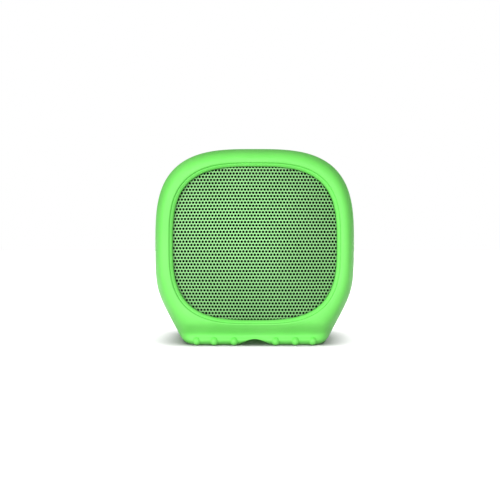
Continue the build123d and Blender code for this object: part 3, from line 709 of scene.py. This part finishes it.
# ---------------------------------------------------------------- the speaker
sign_paint = moulded("sign_paint", (0.16, 0.60, 0.12), (0.20, 0.68, 0.16), 0.4, 0.05)
slots = {part["node"]: part["material_slot"] for part in frame["record"]["subparts"]}
for node, cad_object in frame["nodes"].items():
    dress(cad_object, slots[node])

add_piece(silicone_skin(), "case", "silicone_green", "silicone_skin")
add_piece(toe_bumps(), "case", "silicone_green")
add_piece(perforated_grille(), "case", "grille_metal", "front_grille")
for sign, sign_x in BUTTONS.items():
    add_piece(button_cap(f"cap_{sign}", sign_x), f"{sign}_button", "button_plastic", f"button_{sign}")
    sign_piece = glyph(sign, sign_x)
    add_piece(sign_piece, f"{sign}_button", "button_plastic")
    sign_piece.data.materials[0] = sign_paint
add_piece(switch_knob(), "switch_knob", "button_plastic", "power_switch_knob")
add_piece(jack_ring(), "case", "nickel")
add_piece(light_window(), "case", "clear_plastic", "light_pipe")


# ---------------------------------------------------------------- floor, lights and camera
FLOOR_SIZE = 6.0
FLOOR_COLOUR = (0.28, 0.28, 0.28, 1)
WHITE = (1, 1, 1, 1)
AROUND_STRENGTH = 0.25
MIDDLE = (0, 0, 0.035)
CAMERA_PLACE = (-1.62 * MM, -258.7 * MM, 32.3 * MM)


def floor():
    """A pale floor that reaches far behind the speaker and throws no colour back on it."""
    mesh = bpy.data.meshes.new("floor")
    near, far = -FLOOR_SIZE, FLOOR_SIZE * 3
    mesh.from_pydata([(near, near, 0), (FLOOR_SIZE, near, 0), (FLOOR_SIZE, far, 0), (near, far, 0)], [],
                     [(0, 1, 2, 3)])
    piece = link_object("floor", mesh)
    material, _, _, shader = new_material("pale_floor")
    shader.inputs["Base Color"].default_value = FLOOR_COLOUR
    shader.inputs["Roughness"].default_value = 0.9
    shader.inputs["Specular IOR Level"].default_value = 0.1
    mesh.materials.append(material)
    piece.visible_diffuse = False
    return piece


def area_light(name, place, size, power):
    """A soft rectangular lamp that faces the middle of the speaker."""
    data = bpy.data.lights.new(name, "AREA")
    data.shape = "RECTANGLE"
    data.size, data.size_y = size
    data.energy = power
    light = link_object(name, data)
    light.location = place
    aim = np.array(MIDDLE) - np.array(place)
    light.rotation_euler = Vector(aim).to_track_quat("-Z", "Y").to_euler()
    return light


def floor_light(ground):
    """A wide sun from straight above that lights the floor alone, so that the floor shows white."""
    data = bpy.data.lights.new("floor_light", "SUN")
    data.energy = 18.0
    data.angle = math.radians(70)
    light = link_object("floor_light", data)
    only_floor = bpy.data.collections.new("only_floor")
    only_floor.objects.link(ground)
    light.light_linking.receiver_collection = only_floor


def studio_world():
    """Weak white light from all around, in front of a plain white backdrop."""
    world = bpy.data.worlds.new("studio")
    bpy.context.scene.world = world
    world.use_nodes = True
    nodes, links = world.node_tree.nodes, world.node_tree.links
    around = nodes["Background"]
    around.inputs["Color"].default_value = WHITE
    around.inputs["Strength"].default_value = AROUND_STRENGTH
    backdrop = nodes.new("ShaderNodeBackground")
    backdrop.inputs["Color"].default_value = WHITE
    backdrop.inputs["Strength"].default_value = 1.0
    path = nodes.new("ShaderNodeLightPath")
    mix = nodes.new("ShaderNodeMixShader")
    links.new(path.outputs["Is Camera Ray"], mix.inputs["Fac"])
    links.new(around.outputs["Background"], mix.inputs[1])
    links.new(backdrop.outputs["Background"], mix.inputs[2])
    links.new(mix.outputs["Shader"], nodes["World Output"].inputs["Surface"])


def front_camera():
    data = bpy.data.cameras.new("camera")
    data.lens = 50.0
    data.sensor_width = 36.0
    data.clip_start = 0.01
    camera = link_object("camera", data)
    camera.location = CAMERA_PLACE
    camera.rotation_euler = (math.radians(90), 0, 0)
    bpy.context.scene.camera = camera


ground_piece = floor()
studio_world()
area_light("key", (-0.02, -0.95, 0.15), (0.6, 0.45), 7.0)
area_light("left_fill", (-0.65, -0.75, 0.2), (0.5, 0.5), 4.5)
rear_light = area_light("rear_fill", (0.3, 0.9, 0.3), (0.8, 0.6), 5.0)
rear_light.visible_glossy = False
floor_light(ground_piece)
front_camera()
bpy.context.scene.view_settings.view_transform = "Standard"
